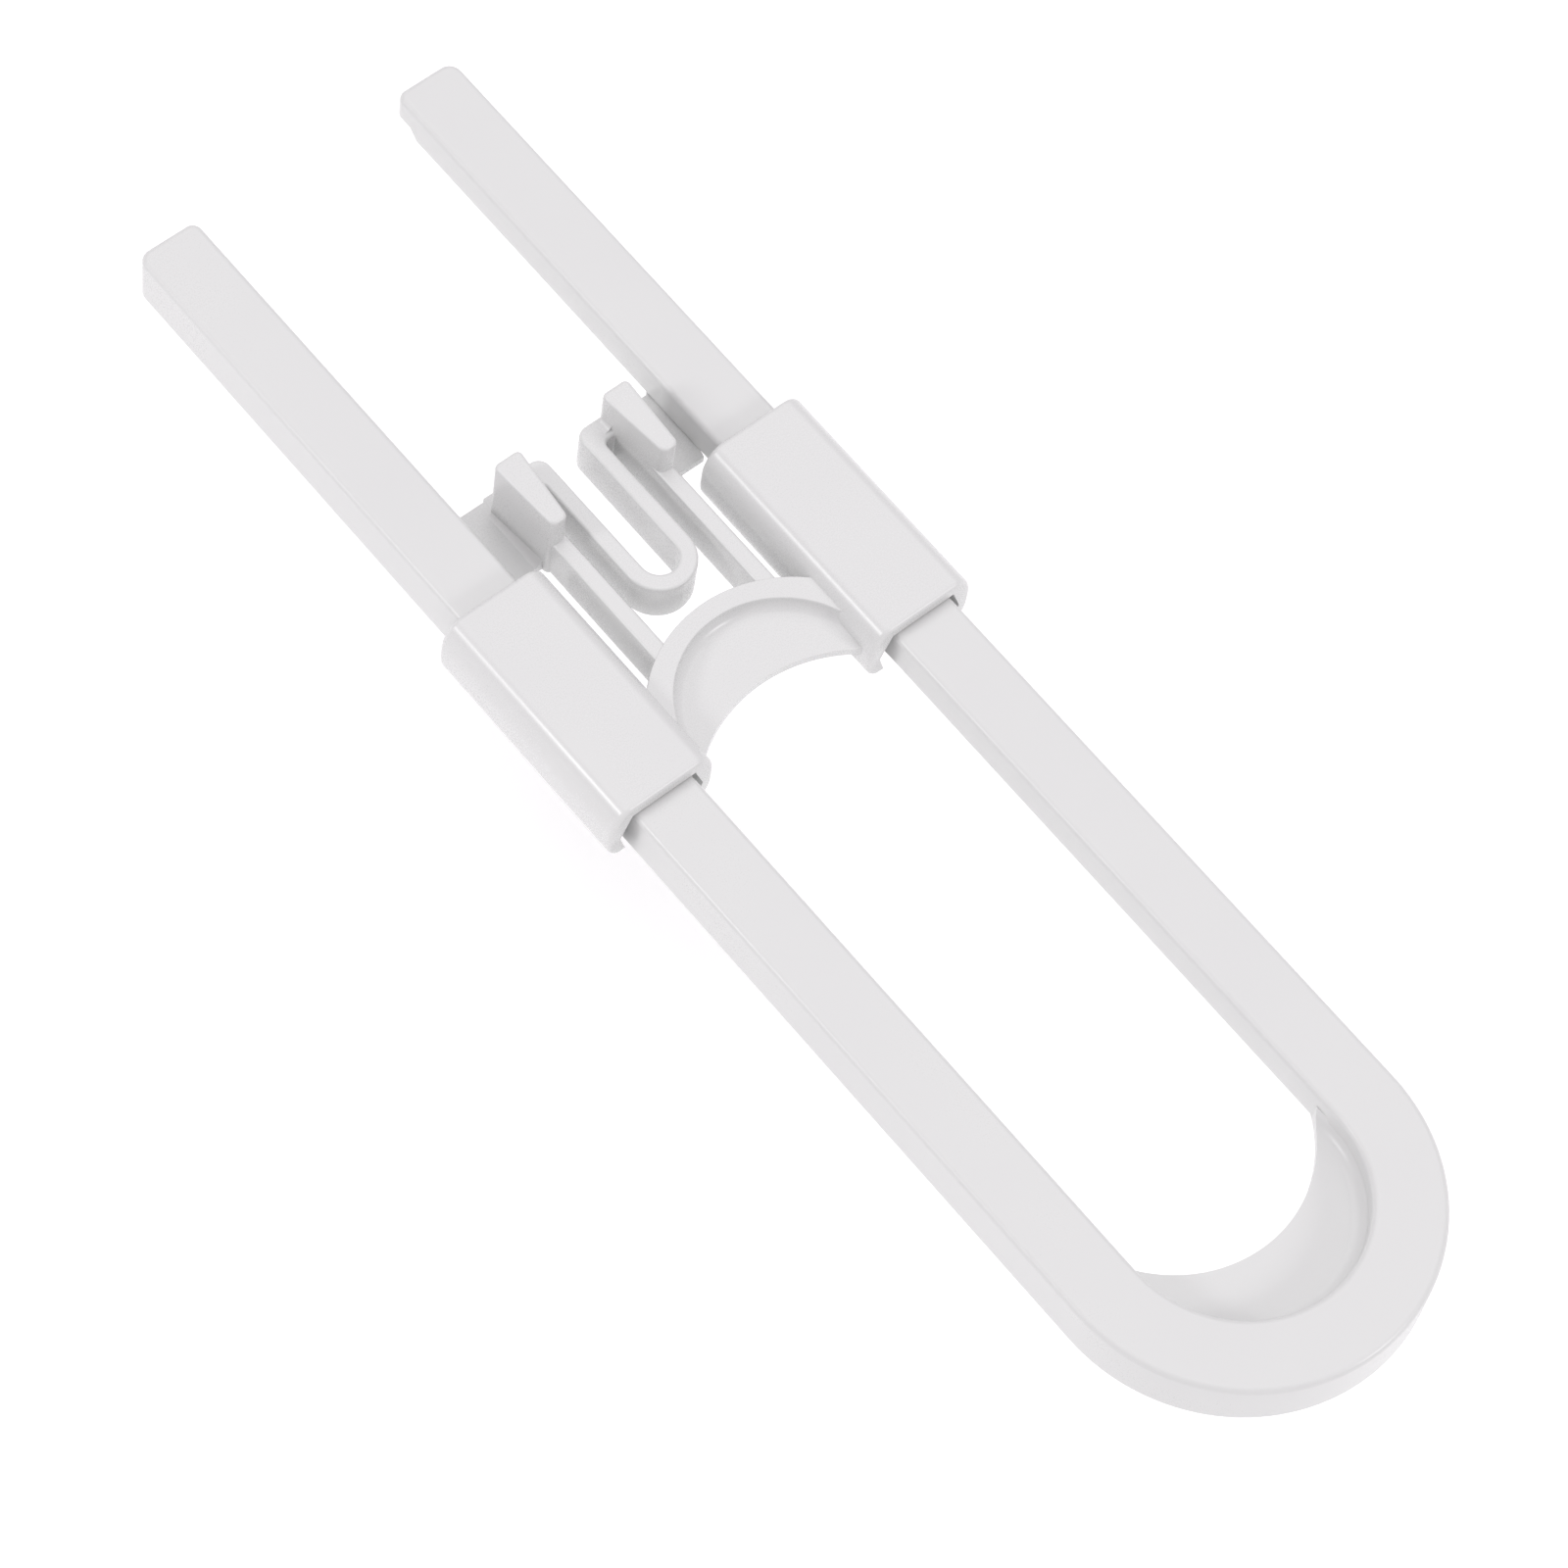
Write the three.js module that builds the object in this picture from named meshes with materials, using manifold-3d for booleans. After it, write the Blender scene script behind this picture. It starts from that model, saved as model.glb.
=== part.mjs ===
// Sliding cabinet lock: a U-shaped bow whose legs pass behind two knobs or handles, and a
// slide with two squeeze tabs that grips the legs. Millimetres, +Z up, the lock lying flat.
// X runs across the legs, +Y points to the legs' open tips, and the origin is on the floor
// under the middle of the whole lock.
import * as THREE from 'three';
import { mergeVertices } from 'three/addons/utils/BufferGeometryUtils.js';
import Module from 'manifold-3d';

const wasm = await Module();
wasm.setup();

// ---- Driving dimensions -------------------------------------------------------------
const FACE_GAP = 0.3;          // left between solids that would touch

// Bow: one inverted channel bent into a U.
const BOW_LENGTH = 256;
const BOW_WIDTH = 62.8;
const LEG_WIDTH = 11.5;
const LEG_HEIGHT = 9.4;
const LEG_ROUND = 1.0;         // radius along the top edges
const OUTER_WALL = 2.0;
const INNER_WALL = 1.8;
const TOP_WALL = 2.2;
const INNER_LIFT = 2.9;        // the inner wall stops this far above the leg's underside
const TIP_WALL = 2.0;
const TIP_OUTER_CORNER = 3.0;
const TIP_INNER_CORNER = 1.0;
const TIP_NOTCH_LENGTH = 4.0;  // lead-in cut under the inner wall at the tip
const TIP_NOTCH_RISE = 1.8;
const RIB_THICKNESS = 1.2;
const RIB_COUNT = 6;

// Thumb web: the shallow plate inside the bend.
const WEB_TOP = 3.9;           // above the leg's underside
const WEB_THICKNESS = 1.8;
const WEB_EDGE_SPREAD = 3.0;   // the free edge's radius beyond the bend's inner radius
const WEB_WIDTH = 12.4;        // from the bend's inner wall to the free edge, at the middle

// Rack: saw teeth inside each leg, facing the middle of the lock.
const PITCH = 3.0;
const TOOTH_DEPTH = 1.2;
const ROOT_FLAT = 0.12 * PITCH;
const STEEP_RUN = 0.1 * PITCH;
const CREST_FLAT = 0.12 * PITCH;
const SLOPE_RUN = PITCH - ROOT_FLAT - STEEP_RUN - CREST_FLAT;
const RACK_BACK = 1.8;         // solid strip behind the teeth
const RACK_CREST_INSET = 2.2;  // from the leg's inner face to the tooth crests
const RACK_TIP_MARGIN = 6.0;   // from the legs' tips to the last tooth
const RACK_BEND_MARGIN = 40.0; // from the start of the bend to the first tooth
const RACK_LEAD = 1.0;         // plain strip before the first tooth
const RACK_LIFT = 0.3;         // above the leg's underside

// Slide: two sleeves joined by an arch.
const SLEEVE_START = 4.8;      // where the sleeves' lower ends stand at rest
const SLEEVE_LENGTH = 41.4;
const SIDE_CLEARANCE = 0.35;   // beside the leg's top corners
const SIDE_SPREAD = 2.3;       // beside the leg's lower half, where the bore is wider
const FOOT_SPREAD = 0.8;       // beside the leg's underside, where the bore narrows again
const TOP_CLEARANCE = 0.35;
const SLEEVE_SIDE_WALL = 1.95;
const SLEEVE_TOP_WALL = 2.35;
const SLEEVE_SHOULDER = 3.6;   // width of the rounded upper sides
const SLEEVE_SIDE_DROP = 6.0;  // height of the rounded upper sides
const SLEEVE_FOOT_INSET = 2.25;
const SLEEVE_FOOT_RISE = 4.5;  // height of the rounded lower sides
const BORE_KNEE = 4.5;         // the bore widens down to this height above the leg's underside
const STRAP_THICKNESS = 1.65;  // floor strap that holds the leg in from below
const STRAP_SETBACK = 3.6;     // from each end of the sleeve

const ARM_BASE = 1.0;          // underside of arch, arms and pawls, above the leg's underside
const RIM_THICKNESS = 3.1;     // at the middle
const RIM_INNER_SPREAD = 1.85; // inner radius beyond the sleeves' inner faces
const RIM_OUTER_SPREAD = 8.15;
const RIM_RISE = 1.5;          // centre of the inner arc past the sleeves' lower ends
const FLOOR_DROP = 2.7;        // arch floor below the rim's top
const FLOOR_THICKNESS = 1.6;
const FLOOR_EDGE_SPREAD = 10.55;
const FLOOR_EDGE_RISE = 7.4;   // crest of the floor's free edge past the sleeves' lower ends

// Squeeze arms, spring, tabs and pawls.
const LATCH_SPACE = 31.3;      // between the sleeves, which the latch's widths are given for
const ARM_SLOT = 3.65;         // from the sleeve to the arm
const ARM_WIDTH = 3.0;
const ARM_ROOT_GAP = 0.4;
const TURN_WIDTH = 3.4;
const LIMB_SLOT = 2.9;         // from the arm to the spring's limb
const LIMB_WIDTH = 2.9;
const SPRING_STAND_OFF = 4.4;  // from the rim's crest to the spring's bend
const SPRING_GAP = 0.7;        // room for the limbs' ends as the tabs are squeezed
const TAB_STAND_OFF = 2.2;     // from the sleeve's end to the tab
const TAB_LENGTH = 13.3;
const TAB_RISE = 6.6;          // above the arm
const TAB_CHAMFER = 0.8;
const PAWL_STAND_OFF = 3.5;    // from the sleeve's end to the pawl
const PAWL_LENGTH = 14.1;
const PAWL_THICKNESS = 1.5;
const PAWL_ROOT = 2.0;         // solid strip behind the pawl's teeth
const PAWL_BITE = 0.9;         // how far the pawl's teeth reach past the rack's crests
const STEEP_PLAY = 0.3;        // between the locked flanks, along the leg
const SLOPE_PLAY = 0.4;
const LOCK_ANGLE = 2.5;        // degrees outwards, from rest to locked

// ---- Places worked out from the dimensions ------------------------------------------
const LEG_OUT = BOW_WIDTH / 2;
const LEG_IN = LEG_OUT - LEG_WIDTH;
const LEG_MID = (LEG_OUT + LEG_IN) / 2;
const TIP_Y = BOW_LENGTH / 2;
const BEND_Y = LEG_OUT - TIP_Y;
const LEG_Z = STRAP_THICKNESS + TOP_CLEARANCE;
const LEG_TOP = LEG_Z + LEG_HEIGHT;
const WEB_EDGE_RADIUS = LEG_IN + WEB_EDGE_SPREAD;

const RACK_CREST = LEG_IN + RACK_CREST_INSET;
const RACK_ROOT = RACK_CREST + TOOTH_DEPTH;
const RACK_REAR = RACK_ROOT + RACK_BACK;
const RACK_START = BEND_Y + RACK_BEND_MARGIN;

const SLEEVE_HALF = LEG_WIDTH / 2 + SIDE_SPREAD + SLEEVE_SIDE_WALL;
const SLEEVE_IN = LEG_MID - SLEEVE_HALF;
const SLEEVE_END = SLEEVE_START + SLEEVE_LENGTH;
const SLEEVE_TOP = LEG_TOP + TOP_CLEARANCE + SLEEVE_TOP_WALL;
const BORE_HALF = LEG_WIDTH / 2 + SIDE_SPREAD;
const BORE_TOP_HALF = LEG_WIDTH / 2 + SIDE_CLEARANCE;
const BORE_FOOT_HALF = LEG_WIDTH / 2 + FOOT_SPREAD;

const ARM_Z = LEG_Z + ARM_BASE;
const RIM_TOP = LEG_TOP;
const RIM_INNER_RADIUS = SLEEVE_IN + RIM_INNER_SPREAD;
const RIM_INNER_CENTRE = SLEEVE_START + RIM_RISE;
const RIM_CREST = RIM_INNER_CENTRE + RIM_INNER_RADIUS + RIM_THICKNESS;
const RIM_OUTER_RADIUS = SLEEVE_IN + RIM_OUTER_SPREAD;
const RIM_CENTRE = RIM_CREST - RIM_OUTER_RADIUS;
const FLOOR_EDGE_RADIUS = SLEEVE_IN + FLOOR_EDGE_SPREAD;
const FLOOR_CENTRE = SLEEVE_START + FLOOR_EDGE_RISE - FLOOR_EDGE_RADIUS;

const LATCH_FIT = (2 * SLEEVE_IN) / LATCH_SPACE;
const ARM_OUT = SLEEVE_IN - ARM_SLOT * LATCH_FIT;
const ARM_IN = ARM_OUT - ARM_WIDTH * LATCH_FIT;
const LIMB_OUT = ARM_IN - LIMB_SLOT * LATCH_FIT;
const LIMB_IN = LIMB_OUT - LIMB_WIDTH * LATCH_FIT;
const SPRING_CENTRE = RIM_CREST + SPRING_STAND_OFF + LIMB_OUT;
const TAB_START = SLEEVE_END + TAB_STAND_OFF;
const TAB_END = TAB_START + TAB_LENGTH;
const PAWL_START = SLEEVE_END + PAWL_STAND_OFF;
const PAWL_END = PAWL_START + PAWL_LENGTH;
const PIVOT_X = (ARM_IN + ARM_OUT) / 2;
const PIVOT_Y = RIM_CENTRE + Math.sqrt(RIM_OUTER_RADIUS ** 2 - PIVOT_X ** 2);

// ---- Helpers ------------------------------------------------------------------------
const WELD = 1e-4;
const PAST = 1;                // how far a cutting solid runs past what it cuts
const ROUND_STEPS = 3;         // facets of a small round
const CORNER_STEPS = 6;
const SIDE_STEPS = 8;
const HALF_TURN_STEPS = 20;
const FULL_TURN_STEPS = 160;

function toSolid(geometry) {
  const bare = geometry.clone();
  bare.deleteAttribute('normal');
  bare.deleteAttribute('uv');
  const merged = mergeVertices(bare, WELD);
  const vertProperties = new Float32Array(merged.attributes.position.array);
  const triVerts = new Uint32Array(merged.index.array);
  return new wasm.Manifold(new wasm.Mesh({ numProp: 3, vertProperties, triVerts }));
}

function toGeometry(solid) {
  const mesh = solid.getMesh();
  const geometry = new THREE.BufferGeometry();
  geometry.setAttribute('position', new THREE.BufferAttribute(new Float32Array(mesh.vertProperties), 3));
  geometry.setIndex(new THREE.BufferAttribute(new Uint32Array(mesh.triVerts), 1));
  geometry.computeVertexNormals();
  return geometry;
}

function outline(points) {
  return new THREE.Shape(points.map(([x, y]) => new THREE.Vector2(x, y)));
}

// An outline in X and Y, raised from one height to another.
function slab(points, low, high) {
  const geometry = new THREE.ExtrudeGeometry(outline(points), { depth: high - low, bevelEnabled: false });
  return toSolid(geometry.translate(0, 0, low));
}

// A section in X and Z, run along Y.
function bar(section, start, end) {
  const shape = outline(section.map(([x, z]) => [x, -z]));
  const geometry = new THREE.ExtrudeGeometry(shape, { depth: end - start, bevelEnabled: false });
  return toSolid(geometry.rotateX(-Math.PI / 2).translate(0, start, 0));
}

// A side view in Y and Z, run along X.
function plate(side, start, end) {
  const shape = outline(side.map(([y, z]) => [-z, y]));
  const geometry = new THREE.ExtrudeGeometry(shape, { depth: end - start, bevelEnabled: false });
  return toSolid(geometry.rotateY(Math.PI / 2).translate(start, 0, 0));
}

function box(x0, x1, y0, y1, z0, z1) {
  const geometry = new THREE.BoxGeometry(x1 - x0, y1 - y0, z1 - z0);
  return toSolid(geometry.translate((x0 + x1) / 2, (y0 + y1) / 2, (z0 + z1) / 2));
}

// Points along an ellipse's arc, in degrees.
function arc(cx, cy, rx, ry, from, to, steps) {
  const points = [];
  for (let i = 0; i <= steps; i += 1) {
    const angle = THREE.MathUtils.degToRad(from + ((to - from) * i) / steps);
    points.push([cx + rx * Math.cos(angle), cy + ry * Math.sin(angle)]);
  }
  return points;
}

function disc(cy, radius, low, high) {
  const points = arc(0, cy, radius, radius, 0, 360, FULL_TURN_STEPS).slice(0, -1);
  return slab(points, low, high);
}

function turnAbout([x, y], degrees) {
  const pivot = new THREE.Vector2(PIVOT_X, PIVOT_Y);
  const point = new THREE.Vector2(x, y).rotateAround(pivot, THREE.MathUtils.degToRad(degrees));
  return [point.x, point.y];
}

function mirrored(geometry) {
  const copy = geometry.clone().scale(-1, 1, 1);
  const index = copy.index.array;
  for (let i = 0; i < index.length; i += 3) {
    [index[i], index[i + 1]] = [index[i + 1], index[i]];
  }
  return copy;
}

// ---- Bow ----------------------------------------------------------------------------
function channelSection() {
  const r = LEG_ROUND;
  const high = LEG_TOP - r;
  const roof = LEG_TOP - TOP_WALL;
  const lip = LEG_Z + INNER_LIFT;
  return [
    [LEG_OUT, LEG_Z],
    ...arc(LEG_OUT - r, high, r, r, 0, 90, ROUND_STEPS),
    ...arc(LEG_IN + r, high, r, r, 90, 180, ROUND_STEPS),
    [LEG_IN, lip],
    [LEG_IN + INNER_WALL, lip],
    [LEG_IN + INNER_WALL, roof],
    [LEG_OUT - OUTER_WALL, roof],
    [LEG_OUT - OUTER_WALL, LEG_Z],
  ];
}

function tipOutline(start) {
  const a = TIP_OUTER_CORNER;
  const b = TIP_INNER_CORNER;
  const points = [
    [LEG_IN, start],
    [LEG_OUT, start],
    ...arc(LEG_OUT - a, TIP_Y - a, a, a, 0, 90, CORNER_STEPS),
    ...arc(LEG_IN + b, TIP_Y - b, b, b, 90, 180, ROUND_STEPS),
  ];
  return slab(points, LEG_Z - PAST, LEG_TOP + PAST);
}

function tipLeadIn() {
  const low = LEG_Z - PAST;
  const edge = LEG_Z + INNER_LIFT;
  const start = TIP_Y - TIP_NOTCH_LENGTH;
  const side = [
    [start - TIP_NOTCH_RISE, low],
    [TIP_Y + PAST, low],
    [TIP_Y + PAST, edge + TIP_NOTCH_RISE],
    [start, edge + TIP_NOTCH_RISE],
    [start - TIP_NOTCH_RISE, edge],
  ];
  return plate(side, LEG_IN - PAST, LEG_IN + INNER_WALL);
}

function legSolid() {
  const start = BEND_Y + FACE_GAP / 2;
  const wall = TIP_Y - TIP_WALL;
  const behind = RACK_REAR + FACE_GAP;
  const under = LEG_TOP - TOP_WALL / 2;
  let leg = bar(channelSection(), start, TIP_Y);
  leg = leg.add(box(LEG_IN, LEG_OUT - LEG_ROUND, wall, TIP_Y, LEG_Z + INNER_LIFT, under));
  leg = leg.add(box(behind, LEG_OUT, wall, TIP_Y, LEG_Z, under));
  const ribRun = (wall - start) / (RIB_COUNT + 1);
  for (let i = 1; i <= RIB_COUNT; i += 1) {
    const y = start + i * ribRun;
    leg = leg.add(box(behind, LEG_OUT - OUTER_WALL / 2, y, y + RIB_THICKNESS, LEG_Z + RACK_LIFT, under));
  }
  return leg.intersect(tipOutline(start)).subtract(tipLeadIn());
}

function bendSolid() {
  const closed = channelSection();
  const profile = closed.concat([closed[0]]).map(([x, z]) => new THREE.Vector2(x, z));
  const turned = new THREE.LatheGeometry(profile, FULL_TURN_STEPS);
  const ring = toSolid(turned.rotateX(Math.PI / 2)).translate([0, BEND_Y, 0]);
  const reach = LEG_OUT + PAST;
  const keep = box(-reach, reach, -TIP_Y - PAST, BEND_Y - FACE_GAP / 2, 0, LEG_TOP + PAST);
  return ring.intersect(keep);
}

function thumbWeb() {
  const radius = LEG_IN - FACE_GAP;
  const edgeCentre = BEND_Y - LEG_IN + WEB_WIDTH + WEB_EDGE_RADIUS;
  const high = LEG_Z + WEB_TOP;
  const low = high - WEB_THICKNESS;
  const round = disc(BEND_Y, radius, low, high);
  const sides = box(-radius, radius, BEND_Y, edgeCentre, low, high);
  const cut = disc(edgeCentre, WEB_EDGE_RADIUS, low - PAST, high + PAST);
  return round.add(sides).subtract(cut);
}

// Each tooth is steep on the side towards the bend, so the slide can be pushed up to the
// bend but can't leave it.
function rackTooth(y) {
  const steepTop = y + ROOT_FLAT + STEEP_RUN;
  return [
    [RACK_ROOT, y],
    [RACK_ROOT, y + ROOT_FLAT],
    [RACK_CREST, steepTop],
    [RACK_CREST, steepTop + CREST_FLAT],
  ];
}

function rackSolid() {
  const count = Math.floor((TIP_Y - RACK_TIP_MARGIN - RACK_START) / PITCH);
  const points = [[RACK_REAR, RACK_START + count * PITCH], [RACK_REAR, RACK_START - RACK_LEAD],
    [RACK_ROOT, RACK_START - RACK_LEAD]];
  for (let i = 0; i < count; i += 1) {
    points.push(...rackTooth(RACK_START + i * PITCH));
  }
  points.push([RACK_ROOT, RACK_START + count * PITCH]);
  return slab(points, LEG_Z + RACK_LIFT, LEG_TOP - TOP_WALL - FACE_GAP);
}

// ---- Slide --------------------------------------------------------------------------
function sleeveSection() {
  const flat = SLEEVE_HALF - SLEEVE_SHOULDER;
  const foot = SLEEVE_HALF - SLEEVE_FOOT_INSET;
  const low = LEG_Z - TOP_CLEARANCE;
  const footCentre = low + SLEEVE_FOOT_RISE;
  const topCentre = SLEEVE_TOP - SLEEVE_SIDE_DROP;
  const right = [
    ...arc(LEG_MID + foot, footCentre, SLEEVE_FOOT_INSET, SLEEVE_FOOT_RISE, -90, 0, CORNER_STEPS),
    ...arc(LEG_MID + flat, topCentre, SLEEVE_SHOULDER, SLEEVE_SIDE_DROP, 0, 90, SIDE_STEPS),
  ];
  const left = right.map(([x, z]) => [2 * LEG_MID - x, z]).reverse();
  return [...right, ...left];
}

function sleeveBore() {
  const low = LEG_Z - TOP_CLEARANCE;
  const knee = LEG_Z + BORE_KNEE;
  const high = LEG_TOP + TOP_CLEARANCE;
  return [
    [LEG_MID - BORE_FOOT_HALF, low],
    [LEG_MID + BORE_FOOT_HALF, low],
    [LEG_MID + BORE_HALF, knee],
    [LEG_MID + BORE_TOP_HALF, high],
    [LEG_MID - BORE_TOP_HALF, high],
    [LEG_MID - BORE_HALF, knee],
  ];
}

function sleeveSolid() {
  const foot = SLEEVE_HALF - SLEEVE_FOOT_INSET;
  const body = bar(sleeveSection(), SLEEVE_START, SLEEVE_END);
  const strap = box(LEG_MID - foot, LEG_MID + foot, SLEEVE_START + STRAP_SETBACK,
    SLEEVE_END - STRAP_SETBACK, 0, LEG_Z);
  const open = bar(sleeveBore(), SLEEVE_START - PAST, SLEEVE_END + PAST);
  return body.add(strap).subtract(open);
}

function archSides(low, high) {
  const reach = SLEEVE_IN - FACE_GAP;
  return box(-reach, reach, SLEEVE_START, RIM_CREST + PAST, low, high);
}

function rimSolid() {
  const outer = disc(RIM_CENTRE, RIM_OUTER_RADIUS, ARM_Z, RIM_TOP);
  const inner = disc(RIM_INNER_CENTRE, RIM_INNER_RADIUS, ARM_Z - PAST, RIM_TOP + PAST);
  const skirt = RIM_CENTRE - RIM_OUTER_RADIUS - PAST;
  const below = box(-LEG_OUT, LEG_OUT, skirt, RIM_INNER_CENTRE, ARM_Z - PAST, RIM_TOP + PAST);
  return outer.intersect(archSides(ARM_Z, RIM_TOP)).subtract(inner).subtract(below);
}

function archFloor() {
  const high = RIM_TOP - FLOOR_DROP;
  const low = high - FLOOR_THICKNESS;
  const inner = disc(RIM_INNER_CENTRE, RIM_INNER_RADIUS - FACE_GAP, low, high);
  const edge = disc(FLOOR_CENTRE, FLOOR_EDGE_RADIUS, low - PAST, high + PAST);
  return inner.intersect(archSides(low, high)).subtract(edge);
}

function springBend() {
  const cy = SPRING_CENTRE;
  const points = [
    ...arc(0, cy, LIMB_OUT, LIMB_OUT, 180, 360, HALF_TURN_STEPS),
    ...arc(0, cy, LIMB_IN, LIMB_IN, 360, 180, HALF_TURN_STEPS),
  ];
  return slab(points, ARM_Z, RIM_TOP);
}

// ---- Squeeze arms -------------------------------------------------------------------
function armSolid() {
  const root = disc(RIM_CENTRE, RIM_OUTER_RADIUS + ARM_ROOT_GAP, ARM_Z - PAST, RIM_TOP + PAST);
  const straight = box(ARM_IN, ARM_OUT, RIM_CENTRE, TAB_END, ARM_Z, RIM_TOP);
  return straight.subtract(root);
}

function turnSolid() {
  return box(LIMB_OUT, ARM_IN - FACE_GAP, TAB_END - TURN_WIDTH, TAB_END, ARM_Z, RIM_TOP);
}

function limbSolid() {
  const start = SPRING_CENTRE + SPRING_GAP;
  const outer = LIMB_OUT - FACE_GAP;
  const r = outer - LIMB_IN;
  const points = [
    [LIMB_IN, start],
    [outer, start],
    [outer, TAB_END],
    ...arc(LIMB_IN + r, TAB_END - r, r, r, 90, 180, CORNER_STEPS).slice(1),
  ];
  return slab(points, ARM_Z, RIM_TOP);
}

function tabSolid() {
  const low = RIM_TOP + FACE_GAP;
  const high = RIM_TOP + TAB_RISE;
  const side = [
    [TAB_START, low],
    [TAB_END, low],
    [TAB_END, high - TAB_CHAMFER],
    [TAB_END - TAB_CHAMFER, high],
    [TAB_START + TAB_CHAMFER, high],
    [TAB_START, high - TAB_CHAMFER],
  ];
  return plate(side, ARM_IN, ARM_OUT);
}

// One pawl tooth as it stands when locked in the rack's gap at y.
function pawlTooth(y) {
  const tip = RACK_CREST + PAWL_BITE;
  const root = tip - TOOTH_DEPTH;
  const steep = (x) => y + ROOT_FLAT + (STEEP_RUN * (RACK_ROOT - x)) / TOOTH_DEPTH - STEEP_PLAY;
  const slope = (x) => y - (SLOPE_RUN * (RACK_ROOT - x)) / TOOTH_DEPTH + SLOPE_PLAY;
  return [[root, slope(root)], [tip, slope(tip)], [tip, steep(tip)], [root, steep(root)]];
}

// The toothed edge is drawn as it stands when locked, then turned back to rest.
function pawlSolid() {
  const first = RACK_START + PITCH * Math.ceil((PAWL_START + PITCH - RACK_START) / PITCH);
  const count = Math.floor((PAWL_END - first) / PITCH) + 1;
  const edge = [];
  for (let i = 0; i < count; i += 1) {
    edge.push(...pawlTooth(first + i * PITCH));
  }
  const start = ARM_OUT + FACE_GAP;
  const back = RACK_CREST + PAWL_BITE - TOOTH_DEPTH - PAWL_ROOT;
  const points = [
    [start, PAWL_START],
    [back, PAWL_START],
    ...edge.map((point) => turnAbout(point, LOCK_ANGLE)),
    [back, PAWL_END],
    [start, PAWL_END],
  ];
  return slab(points, ARM_Z, ARM_Z + PAWL_THICKNESS);
}

// ---- Assembly -----------------------------------------------------------------------
const SATIN_WHITE = { color: 0xe9e9e9, roughness: 0.42, metalness: 0 };
const SLIDE_WHITE = { color: 0xebebeb, roughness: 0.38, metalness: 0 };
const lock = new THREE.Group();

function place(name, geometry, finish) {
  const mesh = new THREE.Mesh(geometry, new THREE.MeshStandardMaterial(finish));
  mesh.name = name;
  lock.add(mesh);
}

function placePair(name, solid, finish) {
  const geometry = toGeometry(solid);
  place(`right_${name}`, geometry, finish);
  place(`left_${name}`, mirrored(geometry), finish);
}

placePair('leg', legSolid(), SATIN_WHITE);
placePair('rack', rackSolid(), SATIN_WHITE);
place('bow_bend', toGeometry(bendSolid()), SATIN_WHITE);
place('thumb_web', toGeometry(thumbWeb()), SATIN_WHITE);

placePair('sleeve', sleeveSolid(), SLIDE_WHITE);
place('arch_rim', toGeometry(rimSolid()), SLIDE_WHITE);
place('arch_floor', toGeometry(archFloor()), SLIDE_WHITE);
place('spring_bend', toGeometry(springBend()), SLIDE_WHITE);

placePair('squeeze_arm', armSolid(), SLIDE_WHITE);
placePair('arm_turn', turnSolid(), SLIDE_WHITE);
placePair('spring_limb', limbSolid(), SLIDE_WHITE);
placePair('finger_tab', tabSolid(), SLIDE_WHITE);
placePair('pawl', pawlSolid(), SLIDE_WHITE);

export default lock;
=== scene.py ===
# %% [markdown]
# # A sliding cabinet lock
#
# The lock is two white ABS mouldings. The bow is a long U-shaped bar whose legs go
# through a pair of cabinet knobs. The slide runs along both legs, with saw-toothed pawls
# on springy arms that catch in racks inside the legs.
#
# Everything is in metres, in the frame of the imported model. X runs across the legs, Y runs
# towards their tips, and the lock lies on Z = 0.

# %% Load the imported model
import math

import bmesh
import bpy
from mathutils import Matrix, Vector


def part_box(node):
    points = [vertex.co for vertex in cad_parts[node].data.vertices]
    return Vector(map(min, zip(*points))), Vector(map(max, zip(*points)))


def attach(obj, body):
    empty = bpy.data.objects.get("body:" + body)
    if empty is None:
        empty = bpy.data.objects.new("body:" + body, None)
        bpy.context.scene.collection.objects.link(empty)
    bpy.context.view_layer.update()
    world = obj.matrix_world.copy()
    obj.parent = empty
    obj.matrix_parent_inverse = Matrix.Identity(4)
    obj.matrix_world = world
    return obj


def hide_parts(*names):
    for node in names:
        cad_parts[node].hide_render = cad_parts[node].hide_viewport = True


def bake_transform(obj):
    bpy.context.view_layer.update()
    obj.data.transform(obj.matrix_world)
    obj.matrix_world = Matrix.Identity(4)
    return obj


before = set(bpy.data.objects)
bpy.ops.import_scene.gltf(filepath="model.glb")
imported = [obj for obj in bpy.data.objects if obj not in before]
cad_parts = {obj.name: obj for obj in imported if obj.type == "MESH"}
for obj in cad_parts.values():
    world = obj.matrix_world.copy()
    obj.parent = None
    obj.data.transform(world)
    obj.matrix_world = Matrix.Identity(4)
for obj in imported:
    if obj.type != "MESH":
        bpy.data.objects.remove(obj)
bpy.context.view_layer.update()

# %% [markdown]
# ## Sizes
#
# A moulded part is easiest to think about in millimetres. The places come from the boxes of
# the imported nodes, so that every new piece lies where the mechanism needs it.

# %% Places of the right-hand half
MM = 0.001


def span(node):
    """The lowest and highest corner of a node, in millimetres."""
    low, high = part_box(node)
    return Vector(low) / MM, Vector(high) / MM


leg_low, leg_high = span("right_leg")
web_low, web_high = span("thumb_web")
sleeve_low, sleeve_high = span("right_sleeve")
rim_low, rim_high = span("arch_rim")
floor_low, floor_high = span("arch_floor")
arm_low, arm_high = span("right_squeeze_arm")
turn_low, turn_high = span("right_arm_turn")
limb_low = span("right_spring_limb")[0]
spring_low, spring_high = span("spring_bend")
tab_low, tab_high = span("right_finger_tab")
pawl_low, pawl_high = span("right_pawl")
rack_high = span("right_rack")[1]

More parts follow.
